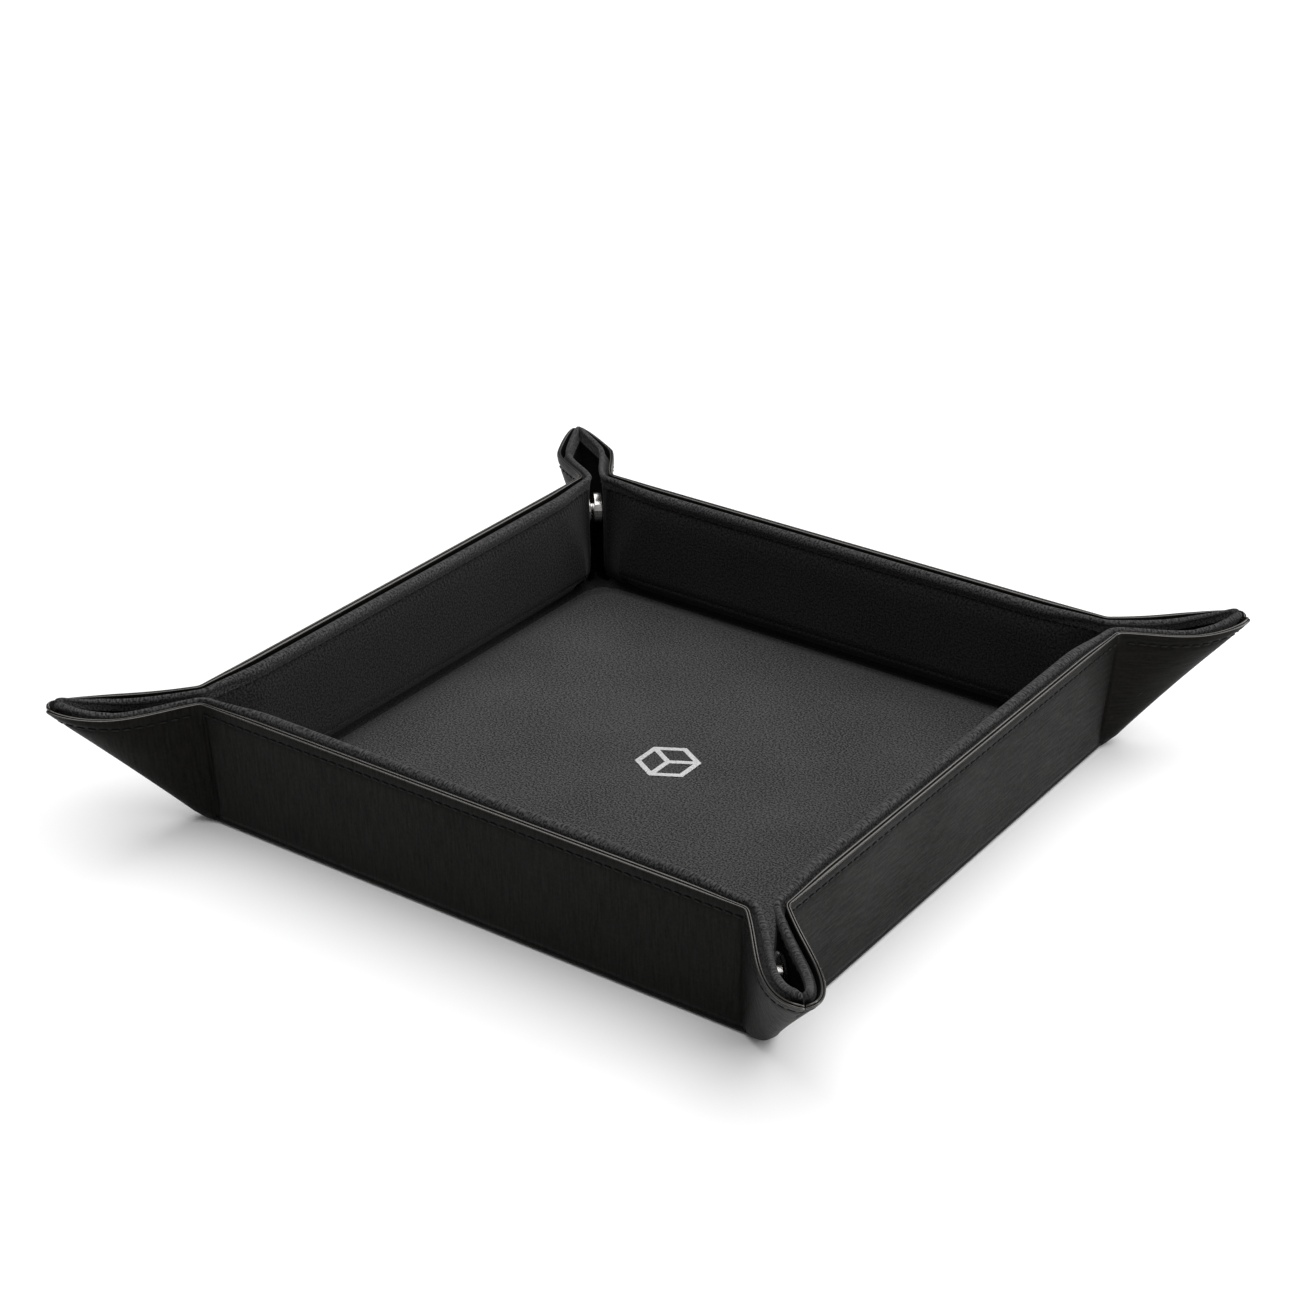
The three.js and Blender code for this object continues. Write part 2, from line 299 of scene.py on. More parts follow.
def make_mesh(name, points, faces, flat, material, caps=0, other=None, other_faces=()):
    """A mesh in metres, its UV the flat pattern's own place in metres."""
    mesh = bpy.data.meshes.new(name)
    mesh.from_pydata([tuple(p) for p in np.asarray(points).reshape(-1, 3) / 1000], [], faces)
    layer = mesh.uv_layers.new(name="flat")
    where = np.asarray(flat).reshape(-1, 2) / 1000
    corners = np.zeros(len(mesh.loops), dtype=np.int32)
    mesh.loops.foreach_get("vertex_index", corners)
    layer.data.foreach_set("uv", where[corners].ravel())
    mesh.polygons.foreach_set("use_smooth", [True] * len(mesh.polygons))
    sharp = set()
    for face in faces[len(faces) - caps:]:
        sharp.update(tuple(sorted(pair)) for pair in zip(face, face[1:] + face[:1]))
    if sharp:
        for edge in mesh.edges:
            if tuple(sorted(edge.vertices)) in sharp:
                edge.use_edge_sharp = True
    mesh.materials.append(material)
    if other:
        mesh.materials.append(other)
        for index in other_faces:
            mesh.polygons[index].material_index = 1
    obj = bpy.data.objects.new(name, mesh)
    bpy.context.scene.collection.objects.link(obj)
    return obj


def tube_faces(stations, around, closed=True):
    faces = []
    for i in range(stations - 1):
        for j in range(around if closed else around - 1):
            k = (j + 1) % around
            faces.append((i * around + j, i * around + k, (i + 1) * around + k, (i + 1) * around + j))
    return faces


def tube(name, points, flat, quarter, material, other=None, columns=()):
    """A closed solid through closed sections; points[station, around, xyz]."""
    stations, around = points.shape[:2]
    faces = tube_faces(stations, around)
    faces.append(tuple(range(around))[::-1])
    last = (stations - 1) * around
    faces.append(tuple(last + j for j in range(around)))
    faces = [f[::-1] for f in faces]
    marked = [i * around + j for i in range(stations - 1) for j in columns]
    return make_mesh(name, turned(points, quarter), faces, turned_flat(flat, quarter), material, 2,
                     other, marked)


def turned_flat(flat, quarter):
    out = np.zeros(flat.shape[:-1] + (3,))
    out[..., :2] = flat
    return turned(out, quarter)[..., :2]


def flat_place(x, y):
    return np.stack(np.broadcast_arrays(x, HINGE + y), axis=-1)


# ---- materials ----------------------------------------------------------------------

def shader(name):
    mat = bpy.data.materials.new(name)
    mat.use_nodes = True
    tree = mat.node_tree
    return mat, tree, tree.nodes["Principled BSDF"]


def node(tree, kind, **values):
    n = tree.nodes.new(kind)
    for key, value in values.items():
        if key in n.inputs:
            n.inputs[key].default_value = value
        else:
            setattr(n, key, value)
    return n


def ramp(tree, source, stops):
    n = tree.nodes.new("ShaderNodeValToRGB")
    n.color_ramp.elements[0].position, n.color_ramp.elements[0].color = stops[0]
    n.color_ramp.elements[1].position, n.color_ramp.elements[1].color = stops[-1]
    for position, color in stops[1:-1]:
        n.color_ramp.elements.new(position).color = color
    tree.links.new(source, n.inputs["Fac"])
    return n


def grey(value, warm=0.0):
    return (value * (1 + warm), value, value * (1 - warm), 1)


def mapped(tree, scale, source="UV"):
    coords = tree.nodes.new("ShaderNodeTexCoord")
    mapping = node(tree, "ShaderNodeMapping", Scale=scale)
    tree.links.new(coords.outputs[source], mapping.inputs["Vector"])
    return mapping.outputs["Vector"]


def maths(tree, operation, *sources):
    n = tree.nodes.new("ShaderNodeMath")
    n.operation = operation
    for socket, source in zip(n.inputs, sources):
        if isinstance(source, (int, float)):
            socket.default_value = source
        else:
            tree.links.new(source, socket)
    return n.outputs[0]


def spread(tree, source, low, high, to_low=0.0, to_high=1.0):
    n = tree.nodes.new("ShaderNodeMapRange")
    for socket, value in (("From Min", low), ("From Max", high), ("To Min", to_low), ("To Max", to_high)):
        n.inputs[socket].default_value = value
    tree.links.new(source, n.inputs["Value"])
    return n.outputs["Result"]


def leather_material(name, dark, light, roughness, specular):
    """Fine straight grain that runs one way across the whole mat, with cloudy wear."""
    mat, tree, bsdf = shader(name)
    link = tree.links.new
    grain = node(tree, "ShaderNodeTexNoise", Scale=1.0, Detail=3.0, Roughness=0.6)
    link(mapped(tree, (1500, 120, 1)), grain.inputs["Vector"])
    pores = node(tree, "ShaderNodeTexNoise", Scale=1.0, Detail=3.0)
    link(mapped(tree, (1300, 800, 1)), pores.inputs["Vector"])
    cloud = node(tree, "ShaderNodeTexNoise", Scale=1.0, Detail=2.0)
    link(mapped(tree, (26, 26, 1)), cloud.inputs["Vector"])
    mix = node(tree, "ShaderNodeMix", data_type="FLOAT")
    mix.inputs[0].default_value = 0.35
    link(grain.outputs["Fac"], mix.inputs[2])
    link(pores.outputs["Fac"], mix.inputs[3])
    tint = ramp(tree, mix.outputs[0], [(0.36, grey(dark, 0.07)), (0.64, grey(light, 0.07))])
    link(tint.outputs["Color"], bsdf.inputs["Base Color"])
    cloudy = spread(tree, cloud.outputs["Fac"], 0.3, 0.7, roughness - 0.05, roughness + 0.05)
    streaky = spread(tree, mix.outputs[0], 0.35, 0.65, 0.08, -0.08)
    link(maths(tree, "ADD", cloudy, streaky), bsdf.inputs["Roughness"])
    bump = node(tree, "ShaderNodeBump", Strength=0.5, Distance=0.0001)
    link(mix.outputs[0], bump.inputs["Height"])
    link(bump.outputs["Normal"], bsdf.inputs["Normal"])
    bsdf.inputs["Specular IOR Level"].default_value = specular
    bsdf.inputs["Specular Tint"].default_value = (1.0, 0.97, 0.91, 1)
    return mat


def lining_material(name, level, ear_shade_share=1.0, gloss=0.10, sheen=0.06):
    """Short-napped cloth, gathered into small ribs under the inner seam. Inside the ears the colour is
    darkened to the given share, a painted shade for their pinched, shadowed insides."""
    mat, tree, bsdf = shader(name)
    link = tree.links.new
    nap = node(tree, "ShaderNodeTexNoise", Scale=1.0, Detail=4.0, Roughness=0.6)
    link(mapped(tree, (1700, 1700, 1)), nap.inputs["Vector"])
    cloud = node(tree, "ShaderNodeTexNoise", Scale=1.0, Detail=3.0)
    link(mapped(tree, (34, 34, 1)), cloud.inputs["Vector"])
    mix = node(tree, "ShaderNodeMix", data_type="FLOAT")
    mix.inputs[0].default_value = 0.08
    link(nap.outputs["Fac"], mix.inputs[2])
    link(cloud.outputs["Fac"], mix.inputs[3])
    tint = ramp(tree, mix.outputs[0], [(0.41, grey(level * 0.2)), (0.59, grey(level * 1.9))])
    bsdf.inputs["Roughness"].default_value = 0.92
    bsdf.inputs["Specular IOR Level"].default_value = gloss
    bsdf.inputs["Sheen Weight"].default_value = sheen
    bsdf.inputs["Sheen Roughness"].default_value = 0.5
    coords = tree.nodes.new("ShaderNodeTexCoord")
    parts = tree.nodes.new("ShaderNodeSeparateXYZ")
    link(coords.outputs["UV"], parts.inputs["Vector"])
    across, along = (maths(tree, "ABSOLUTE", parts.outputs[axis]) for axis in "XY")
    down = maths(tree, "SUBTRACT", (HINGE + TOP) / 1000, maths(tree, "MAXIMUM", across, along))
    # Painted shade: inside the ears' squares of the pattern the colour is scaled down to the given share.
    painted_ear_shade = spread(tree, maths(tree, "MINIMUM", across, along), 0.0885, 0.0945, 1.0, ear_shade_share)
    shade = node(tree, "ShaderNodeVectorMath", operation="SCALE")
    link(tint.outputs["Color"], shade.inputs[0])
    link(painted_ear_shade, shade.inputs["Scale"])
    link(shade.outputs["Vector"], bsdf.inputs["Base Color"])
    place_along = maths(tree, "MINIMUM", across, along)
    rib = maths(tree, "SINE", maths(tree, "MULTIPLY", place_along, 2 * math.pi / PUCKER_PITCH))
    near = maths(tree, "MULTIPLY", spread(tree, down, 0.0044, 0.0050),
                 spread(tree, down, 0.0056, 0.0086, 1, 0))
    ribs = maths(tree, "MULTIPLY", rib, maths(tree, "MULTIPLY", near, 0.45))
    height = maths(tree, "ADD", ribs, nap.outputs["Fac"])
    bump = node(tree, "ShaderNodeBump", Strength=0.7, Distance=0.00025)
    link(height, bump.inputs["Height"])
    link(bump.outputs["Normal"], bsdf.inputs["Normal"])
    return mat


def plain_noise(name, low, high, scale, roughness, metallic=0.0, warm=0.0, bump_size=0.0):
    mat, tree, bsdf = shader(name)
    link = tree.links.new
    noise = node(tree, "ShaderNodeTexNoise", Scale=1.0, Detail=3.0)
    link(mapped(tree, (scale, scale, scale), "Object"), noise.inputs["Vector"])
    tint = ramp(tree, noise.outputs["Fac"], [(0.3, grey(low, warm)), (0.7, grey(high, warm))])
    link(tint.outputs["Color"], bsdf.inputs["Base Color"])
    rough = node(tree, "ShaderNodeMapRange")
    rough.inputs["To Min"].default_value = roughness * 0.8
    rough.inputs["To Max"].default_value = roughness * 1.2
    link(noise.outputs["Fac"], rough.inputs["Value"])
    link(rough.outputs["Result"], bsdf.inputs["Roughness"])
    bsdf.inputs["Metallic"].default_value = metallic
    if bump_size:
        bump = node(tree, "ShaderNodeBump", Strength=0.4, Distance=bump_size)
        link(noise.outputs["Fac"], bump.inputs["Height"])
        link(bump.outputs["Normal"], bsdf.inputs["Normal"])
    return mat


leather = leather_material("black_leatherette", 0.0012, 0.0062, 0.46, 0.065)
# The hem's crests: glossier leather, which is real, in a colour about three times lighter than the walls'
# leather, which is a painted highlight where the overhead light catches them.
hem_gloss_and_highlight = leather_material("black_leatherette_hem_highlight", 0.004, 0.02, 0.18, 0.85)
floor_cloth = lining_material("charcoal_velour", 0.036)
# The walls' lining is the floor's cloth painted about three times darker, a painted shade for upright faces
# that get little of the overhead light.
shaded_wall_cloth = lining_material("charcoal_velour_wall_shaded", 0.013, 0.12)
# The ears' lining is a darker copy again with no sheen, a painted shade for the pinched ears' insides.
shaded_ear_cloth = lining_material("charcoal_velour_ear", 0.02, 0.12, 0.05, 0.0)
# The roll keeps about the floor's level: a lit copy set against the walls' painted shade, so its lighter
# top is painted light.
lit_roll_cloth = lining_material("charcoal_velour_roll_lit", 0.034)
thread = plain_noise("black_thread", 0.002, 0.008, 2500, 0.6)
thread.node_tree.nodes["Principled BSDF"].inputs["Specular IOR Level"].default_value = 0.15
nickel = plain_noise("polished_nickel", 0.62, 0.78, 900, 0.17, 1.0, 0.02)
foil = plain_noise("silver_foil", 0.84, 0.98, 1600, 0.30, 1.0, 0.0, 0.00003)

# ---- sections -----------------------------------------------------------------------

HEM_STEPS = 7
# Only the bead tops facing the overhead light take it, so their lighter colour is a painted highlight.
HEM_HIGHLIGHT_COLUMNS = (20, 21, 22, 28, 29, 30)            # the polished crests of its two beads
# The roll's faces, which take the lighter, lit copy of the cloth.
ROLL_COLUMNS = range(1, 18)


def hem_section(x, foot):
    """Closed section of the outer leather with its turned edge: (y, h) lists by station."""
    w = hem_inside(x, TOP) + LEATHER
    r = w / 4
    out = []
    body = np.concatenate([[foot], np.linspace(max(foot, 2.6) + 0.4, TOP - 7.0, 11)])
    out += [(y, -LEATHER + 0 * w) for y in body]
    # The seam pulls a shallow groove into the face below the edge.
    for drop, depth in ((5.2, 0.0), (4.3, 0.06), (3.7, 0.26), (3.1, 0.26), (2.5, 0.03),
                        (1.7, -0.04), (1.2, 0)):
        out.append((TOP - drop, -LEATHER + depth + 0 * w))
    for middle in (-LEATHER + r, -LEATHER + 3 * r):
        for a in np.linspace(math.pi, 0, HEM_STEPS):
            out.append((TOP - r + r * math.sin(a), middle + r * math.cos(a)))
    out.append((TOP - 1.6, -LEATHER + w))
    out.append((TOP - 2.6, -LEATHER + w - 0.1))
    out.append((TOP - 3.2, LEATHER + 0 * w))
    out += [(y, LEATHER + 0 * w) for y in body[::-1]]
    return out


def lining_section(x, foot):
    """Closed section of the lining with its rolled edge, from the groove round to the back."""
    hem = hem_inside(x, TOP)
    tip = smooth(diagonal(TOP - 4) - 7, diagonal(TOP - 4), np.abs(x))
    c, r = roll_middle(x, TOP) * (1 - 0.2 * tip), roll_radius(x, TOP)
    crest = TOP - 0.9 * tip
    out = [(crest - 3.3, 0.75 + 0 * hem), (crest - 2.9, np.minimum(hem + 0.1, c - r * 0.9))]
    for a in np.radians(np.linspace(200, -50, 15)):
        out.append((crest - r + 0.15 + r * np.sin(a), c + r * np.cos(a)))
    valley = c + 0.35 * r
    swell = pad_face(x, TOP - 9.5) - valley
    out.append((crest - 1.9 * r - 0.25, c + 0.52 * r))
    out.append((TOP - SEAM_DOWN, valley - 0.2))
    for drop, share in ((4.9, 0.30), (5.8, 0.6), (7.4, 0.85), (9.5, 1.0)):
        out.append((TOP - drop, valley + swell * share))
    for y in np.linspace(TOP - 12, foot + 0.6, 11):
        out.append((y, pad_face(x, y)))
    out.append((foot, pad_face(x, foot) - 0.5))
    out.append((foot, 0.75 + 0 * hem))
    for y in np.linspace(foot, TOP - 3.3, 8)[1:-1]:
        out.append((y, 0.75 + 0 * hem))
    return out


def strip(name, x_at, section, foot, ears, quarter, material):
    """A solid swept through stations; x_at(y) gives the stations' places at a height."""
    reference = x_at(np.full(1, TOP - 4.0))[:, 0]
    path = section(reference, foot)
    count = len(path)
    xs = np.zeros((len(reference), count))
    ys = np.zeros_like(xs)
    hs = np.zeros_like(xs)
    for j, (y, h) in enumerate(path):
        ys[:, j] = y
        hs[:, j] = h
        xs[:, j] = np.diagonal(x_at(ys[:, j]))
    top = x_at(np.full(1, TOP))[:, :1]
    ys -= corner_drop(top) * smooth(TOP - 9, TOP, ys)
    if section is hem_section:
        hs += dent(xs, ys)
        points = place(xs, ys, hs, ears)
        return tube(name, points, flat_place(xs, ys), quarter, material, hem_gloss_and_highlight, HEM_HIGHLIGHT_COLUMNS)
    points = place(xs, ys, hs, ears)
    return tube(name, points, flat_place(xs, ys), quarter, material, lit_roll_cloth, ROLL_COLUMNS)


def fold_start(y):
    """Where in the pattern the bending of an ear's folded edge begins."""
    from_diagonal = (5.21 + (8.73 - 5.21) * (y - 1.5) / (TOP - 1.5)) * ROOT2
    hinge = diagonal(y) - from_diagonal
    return np.maximum(hinge - 5.0, crease(y) + EAR_START)


def spans(kind):
    """Station places along the pattern for one kind of piece, at any height."""
    def wall(y):
        reach = crease(y) - WALL_END
        s = np.concatenate([-np.linspace(1, 0.76, 9), np.linspace(-0.74, 0.74, 31),
                            np.linspace(0.76, 1, 9)])
        return s[:, None] * reach[None, :]

    def crease_strip(y):
        s = np.array([-WALL_END, -6.6, -5, -3.6, -2.4, -1.6, -1.2, -0.9, -0.6, -0.3,
                      0, 0.3, 0.6, 0.9, 1.2, 1.5, EAR_START])
        return crease(y)[None, :] + s[:, None]

    def ear(y):
        a, b = crease(y) + EAR_START, fold_start(y)
        s = np.linspace(0, 1, 13)
        return a[None, :] + s[:, None] * (b - a)[None, :]

    def fold(y):
        a, b = fold_start(y), diagonal(y)
        s = np.linspace(0, 1, 25) ** 0.9
        return a[None, :] + s[:, None] * (b - a)[None, :]

    return {"wall": wall, "crease": crease_strip, "ear": ear, "fold": fold}[kind]


def mirrored(fn):
    return lambda y: -fn(y)[::-1]


# ---- lines of the base fold, the creases and the ears' folds ------------------------

def metres(point, quarter):
    return tuple(turned(np.array(point, float), quarter) / 1000)


def bend_ends(reach):
    d = np.array([0, 1, 1]) / ROOT2
    c = np.array([0, HINGE, LEATHER])
    return c - d * reach, c + d * reach


def crease_ends(reach):
    p = wall_plane(crease(20.0), np.array(20.0))
    d = np.array([math.cos(EAR_TURN / 2), math.sin(EAR_TURN / 2), 0])
    return p - d * reach, p + d * reach


def ear_plane_point(x, y):
    """A point of the pattern carried by the flat half of an ear, turned at its crease."""
    foot = wall_plane(np.array(crease(0.0)), np.array(0.0))
    head = wall_plane(np.array(crease(TOP)), np.array(TOP))
    axis = Vector(head - foot).normalized()
    rest = Vector(wall_plane(np.array(x), np.array(y)) - foot)
    rest.rotate(Quaternion(axis, -EAR_TURN))
    return np.array(foot) + np.array(rest)


def fold_line():
    foot = ear_plane_point(diagonal(1.5) - 5.21 * ROOT2, 1.5)
    head = ear_plane_point(diagonal(TOP) - 8.73 * ROOT2, TOP)
    return foot, head


def fold_ends(reach):
    foot, head = fold_line()
    inner = ear_plane_point(crease(TOP), TOP)
    along = Vector(head - foot).normalized()
    across = Vector(head - inner)
    across -= along * across.dot(along)
    across.normalize()
    inward = Vector((1, -1, 0)) / ROOT2
    inward -= along * inward.dot(along)
    inward -= across * inward.dot(across)
    inward.normalize()
    d = np.array(across * math.cos(EDGE_TURN / 2) + inward * math.sin(EDGE_TURN / 2))
    middle = (foot + head) / 2
    return middle - d * reach, middle + d * reach


def flip(ends, side):
    out = []
    for p in ends:
        q = np.array(p, float)
        q[0] *= side
        out.append(q)
    return out


# ---- the mat ------------------------------------------------------------------------


def pattern_area(x_at, foot, top):
    ys = np.linspace(foot, top, 60)
    x = x_at(ys)
    widths = x[-1] - x[0]
    area = float(np.sum((widths[1:] + widths[:-1]) / 2 * np.diff(ys)))
    return area, float(widths.max()), float(top - foot)


def add_strip(name, kind, side, section, foot, extra, ears, quarter, material):
    x_at = spans(kind)
    if side < 0:
        x_at = mirrored(x_at)
    obj = strip(name, x_at, section, foot, ears, quarter, material)
    area, width, length = pattern_area(x_at, foot, TOP)
    length += extra
    area += extra * width
    return obj


def add_walls():
    for quarter, wall in enumerate(WALLS):
        ends = (CORNERS[quarter], CORNERS[(quarter + 1) % 4])
        ears = tuple(EARS[c] for c in ends)
        body = wall + "_wall"
        for label, section, material, foot, extra in (
                ("leather", hem_section, leather, FOOT, TURNED_IN),
                ("lining", lining_section, shaded_wall_cloth, LINING_FOOT, ROUND_THE_ROLL)):
            panel = add_strip(f"{label}_panel_{wall}", "wall", 1, section, foot, extra,
                              ears, quarter, material)
            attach(panel, body)
            hides = [f"wall_{label}_{wall}"]
            if label == "lining":
                hides += [f"wall_board_{wall}", f"wall_foam_{wall}"]
            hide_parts(*hides)
            for side, corner in ((1, ends[0]), (-1, ends[1])):
                ear_body, fold_body = f"ear_{corner}_{wall}", f"ear_fold_{corner}_{wall}"
                low = FOOT if label == "leather" else CREASE_LINING_FOOT
                turn = add_strip(f"{label}_crease_{corner}_{wall}", "crease", side, section, low, extra,
                                 ears, quarter, material)
                a, b = flip(crease_ends(0.95), side)
                metres(a, quarter)
                metres(b, quarter)
                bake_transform(turn)
                low = EAR_FOOT if label == "leather" else EAR_LINING_FOOT
                # The ears' lining takes the copy painted darker as shade.
                inner = leather if label == "leather" else shaded_ear_cloth
                half = add_strip(f"{label}_ear_{corner}_{wall}", "ear", side, section, low, extra,
                                 ears, quarter, inner)
                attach(half, ear_body)
                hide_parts(f"ear_{label}_{corner}_{wall}")
                edge = add_strip(f"{label}_fold_{corner}_{wall}", "fold", side, section, low, extra,
                                 ears, quarter, inner)
                a, b = flip(fold_ends(3.0), side)
                metres(a, quarter)
                metres(b, quarter)
                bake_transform(edge)
                if label == "leather":
                    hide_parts(f"ear_fold_leather_{corner}_{wall}")


def add_base():
    # Flat leather underneath.
    half, radius = HINGE - BASE_REACH, 2.5
    ring = []
    for sx, sy, start in ((1, 1, 0), (-1, 1, 1), (-1, -1, 2), (1, -1, 3)):
        for a in np.linspace(0, math.pi / 2, 7):
            t = start * math.pi / 2 + a
            ring.append((sx * (half - radius) + radius * math.cos(t),
                         sy * (half - radius) + radius * math.sin(t)))
    ring = np.array(ring)
    thick = 2 * LEATHER
    levels = [(0.4, 0.0), (0.8, 0.0), (0.97, 0.0), (1.0, 0.0), (1.0, thick), (0.97, thick), (0.6, thick)]
    points = [(ring[i, 0] * s, ring[i, 1] * s, z) for i in range(len(ring)) for s, z in levels]
    n, m = len(ring), len(levels)
    faces = []
    for i in range(n):
        k = (i + 1) % n
        for j in range(m - 1):
            faces.append((i * m + j, k * m + j, k * m + j + 1, i * m + j + 1)[::-1])
    faces.append(tuple(i * m for i in range(n))[::-1])
    faces.append(tuple(i * m + m - 1 for i in range(n)))
    flat = [(p[0], p[1]) for p in points]
    base = make_mesh("leather_base", points, faces, flat, leather)
    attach(base, "base")
    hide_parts("base_leather")
    for quarter, wall in enumerate(WALLS):
        ends = (CORNERS[quarter], CORNERS[(quarter + 1) % 4])
        ears = tuple(EARS[c] for c in ends)
        ys = np.concatenate([[-BASE_REACH, -5.0, -2.5], np.linspace(-BEND, BEND, 9), [FOOT]])
        xs = np.linspace(-1, 1, 93)
        path = [(y, -LEATHER) for y in ys] + [(y, LEATHER) for y in ys[::-1]]
        grid_x = np.array([[s * (crease(max(y, 0)) + 1.0) for y, _ in path] for s in xs])
        grid_y = np.array([[y for y, _ in path] for _ in xs])
        grid_h = np.array([[h for _, h in path] for _ in xs])
        points = place(grid_x, grid_y, grid_h, ears)
        bend = tube(f"leather_bend_{wall}", points, flat_place(grid_x, grid_y), quarter, leather)
        a, b = bend_ends(0.7)
        metres(a, quarter)
        metres(b, quarter)
        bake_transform(bend)


def add_corner_cups():
    """The base's rounded corners, between the flat underside and the feet of the ears."""
    for quarter in range(4):
        ear = EARS[CORNERS[quarter]]
        half, radius = HINGE - BASE_REACH, 2.5
        rows = []
        a = np.linspace(0, 1, 13)
        turn = math.pi / 2 - a * math.pi / 4
        inner = stack(half - radius + radius * np.cos(turn), half - radius + radius * np.sin(turn), LEATHER)
        inner = inner + (np.array([91.0, half, LEATHER]) - inner[0]) * (1 - a[:, None]) ** 2
        mid = ear_surface(a, np.full(13, 0.01), ear)
        mid[:, 2] = LEATHER
        top = ear_surface(a, np.full(13, CUP_TOP), ear)
        for t in np.linspace(0, 1, 11):
            if t <= 0.4:
                rows.append(inner + (mid - inner) * t / 0.4 * 0.8)
            else:
                s = (t - 0.4) / 0.6
                p = inner + (mid - inner) * 0.8
                rows.append((1 - s) ** 2 * p + 2 * s * (1 - s) * mid + s ** 2 * top)
        right = np.array(rows)                       # [row, along, xyz] on the back half
        left = right[:, ::-1][:, 1:].copy()
        left[..., [0, 1]] = left[..., [1, 0]]
        grid = np.concatenate([right, left], axis=1)
        du = np.gradient(grid, axis=1)
        dv = np.gradient(grid, axis=0)
        n = np.cross(du, dv)
        n /= np.maximum(np.linalg.norm(n, axis=2, keepdims=True), 1e-9)
        n *= np.where((n * (np.array([60, 60, 40]) - grid)).sum(axis=2, keepdims=True) < 0, -1, 1)
        # Its upper edge is tucked behind the feet of the ears.
        tuck = 0.36 * smooth(0.5, 0.8, np.linspace(0, 1, 11))[:, None, None]
        outer, inside = grid - n * (LEATHER - tuck), grid + n * LEATHER
        outer[..., 2] = np.maximum(outer[..., 2], 0)
        loop = np.concatenate([outer, inside[::-1]], axis=0).transpose(1, 0, 2)
        flat = loop[..., :2].copy()
        cup = tube(f"leather_corner_{CORNERS[quarter]}", loop, flat, 0, leather)
        cup.data.transform(Matrix.Rotation(quarter * math.pi / 2, 4, "Z"))
        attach(cup, "base")


def add_floor():
    """The lined floor: a padded square whose edge rolls down into the valley by the walls."""
    # Each ring's half side, corner radius and height, from the middle outwards.
    rings = [(0, 0, 5.2), (20, 1, 5.2), (40, 2, 5.2), (58, 3, 5.22), (70, 4, 5.24),
             (78, 5, 5.22), (82, 6, 5.16), (84.2, 6.5, 4.98), (85.6, 7, 4.6), (86.6, 7.5, 4.0),
             (87.6, 8, 3.3), (89.2, 8.5, 2.6), (91.2, 8, 2.15), (92.6, 8, 2.1)]
    steps = 25
    points, flat = [], []
    for half, radius, z in rings[1:]:
        side = []
        for q in range(4):
            edge = [(half, -half + radius + (2 * half - 2 * radius) * t) for t in np.linspace(0, 1, steps)]
            arc = [(half - radius + radius * math.cos(t), half - radius + radius * math.sin(t))
                   for t in np.linspace(0, math.pi / 2, 8)[1:-1]]
            for p in edge + arc:
                side.append(turned(np.array([p[0], p[1], 0.0]), q))
        for p in side:
            wave = 0.06 * math.sin(p[0] / 13.0 + 1.3) * math.sin(p[1] / 17.0) if half < 80 else 0
            points.append((p[0], p[1], z + wave))
    around = len(points) // (len(rings) - 1)
    faces = []
    for i in range(len(rings) - 2):
        for j in range(around):
            k = (j + 1) % around
            faces.append((i * around + j, (i + 1) * around + j, (i + 1) * around + k, i * around + k))
    top = len(points)
    points.append((0, 0, 5.2))
    faces += [(top, j, (j + 1) % around) for j in range(around)]
    outer = (len(rings) - 2) * around
    under = len(points)
    points += [(points[outer + j][0], points[outer + j][1], 1.35) for j in range(around)]
    faces += [(outer + j, under + j, under + (j + 1) % around, outer + (j + 1) % around)
              for j in range(around)]
    faces.append(tuple(under + j for j in range(around))[::-1])
    flat = [(p[0], p[1]) for p in points]
    floor = make_mesh("lining_floor", points, faces, flat, floor_cloth)
    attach(floor, "base")
    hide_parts("floor_lining", "base_board")


def valley_strip(name, xs, wall_side, back, quarter, ears):
    """Lining that turns up from the floor's edge to a wall, over the base fold."""
    base_side = [(91.6, 2.12), (92.6, 2.1), (94.0, 2.05), (94.6, 2.15)]
    loop = [stack(xs, y, z) for y, z in base_side]
    flat = [flat_place(xs, y - HINGE) for y, z in base_side]
    ending = 1 - smooth(0, 7, crease(LINING_FOOT) - WALL_END - np.abs(xs))
    for y in wall_side:
        h = np.maximum(pad_face(xs, y), 1.6) * (1 - 0.45 * ending * (1 - smooth(4, 8, y)))
        h = h - (0.5 if y == wall_side[-1] else 0)
        loop.append(place(xs, np.full_like(xs, y), h, ears))
        flat.append(flat_place(xs, np.full_like(xs, y)))
    for y, h in back:
        loop.append(place(xs, np.full_like(xs, y), np.full_like(xs, h), ears))
        flat.append(flat_place(xs, np.full_like(xs, y)))
    for y in (94.0, 91.6):
        loop.append(stack(xs, y, 1.35))
        flat.append(flat_place(xs, y - HINGE))
    # The valley takes the walls' copy of the cloth, painted darker as shade.
    valley = tube(name, np.stack(loop, axis=1), np.stack(flat, axis=1), quarter, shaded_wall_cloth)
    low = np.array([0, 96.9, 0.0])
    high = low + np.array([0, 1, 1]) / ROOT2 * 0.9
    metres(low, quarter)
    metres(high, quarter)
    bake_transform(valley)
    return valley


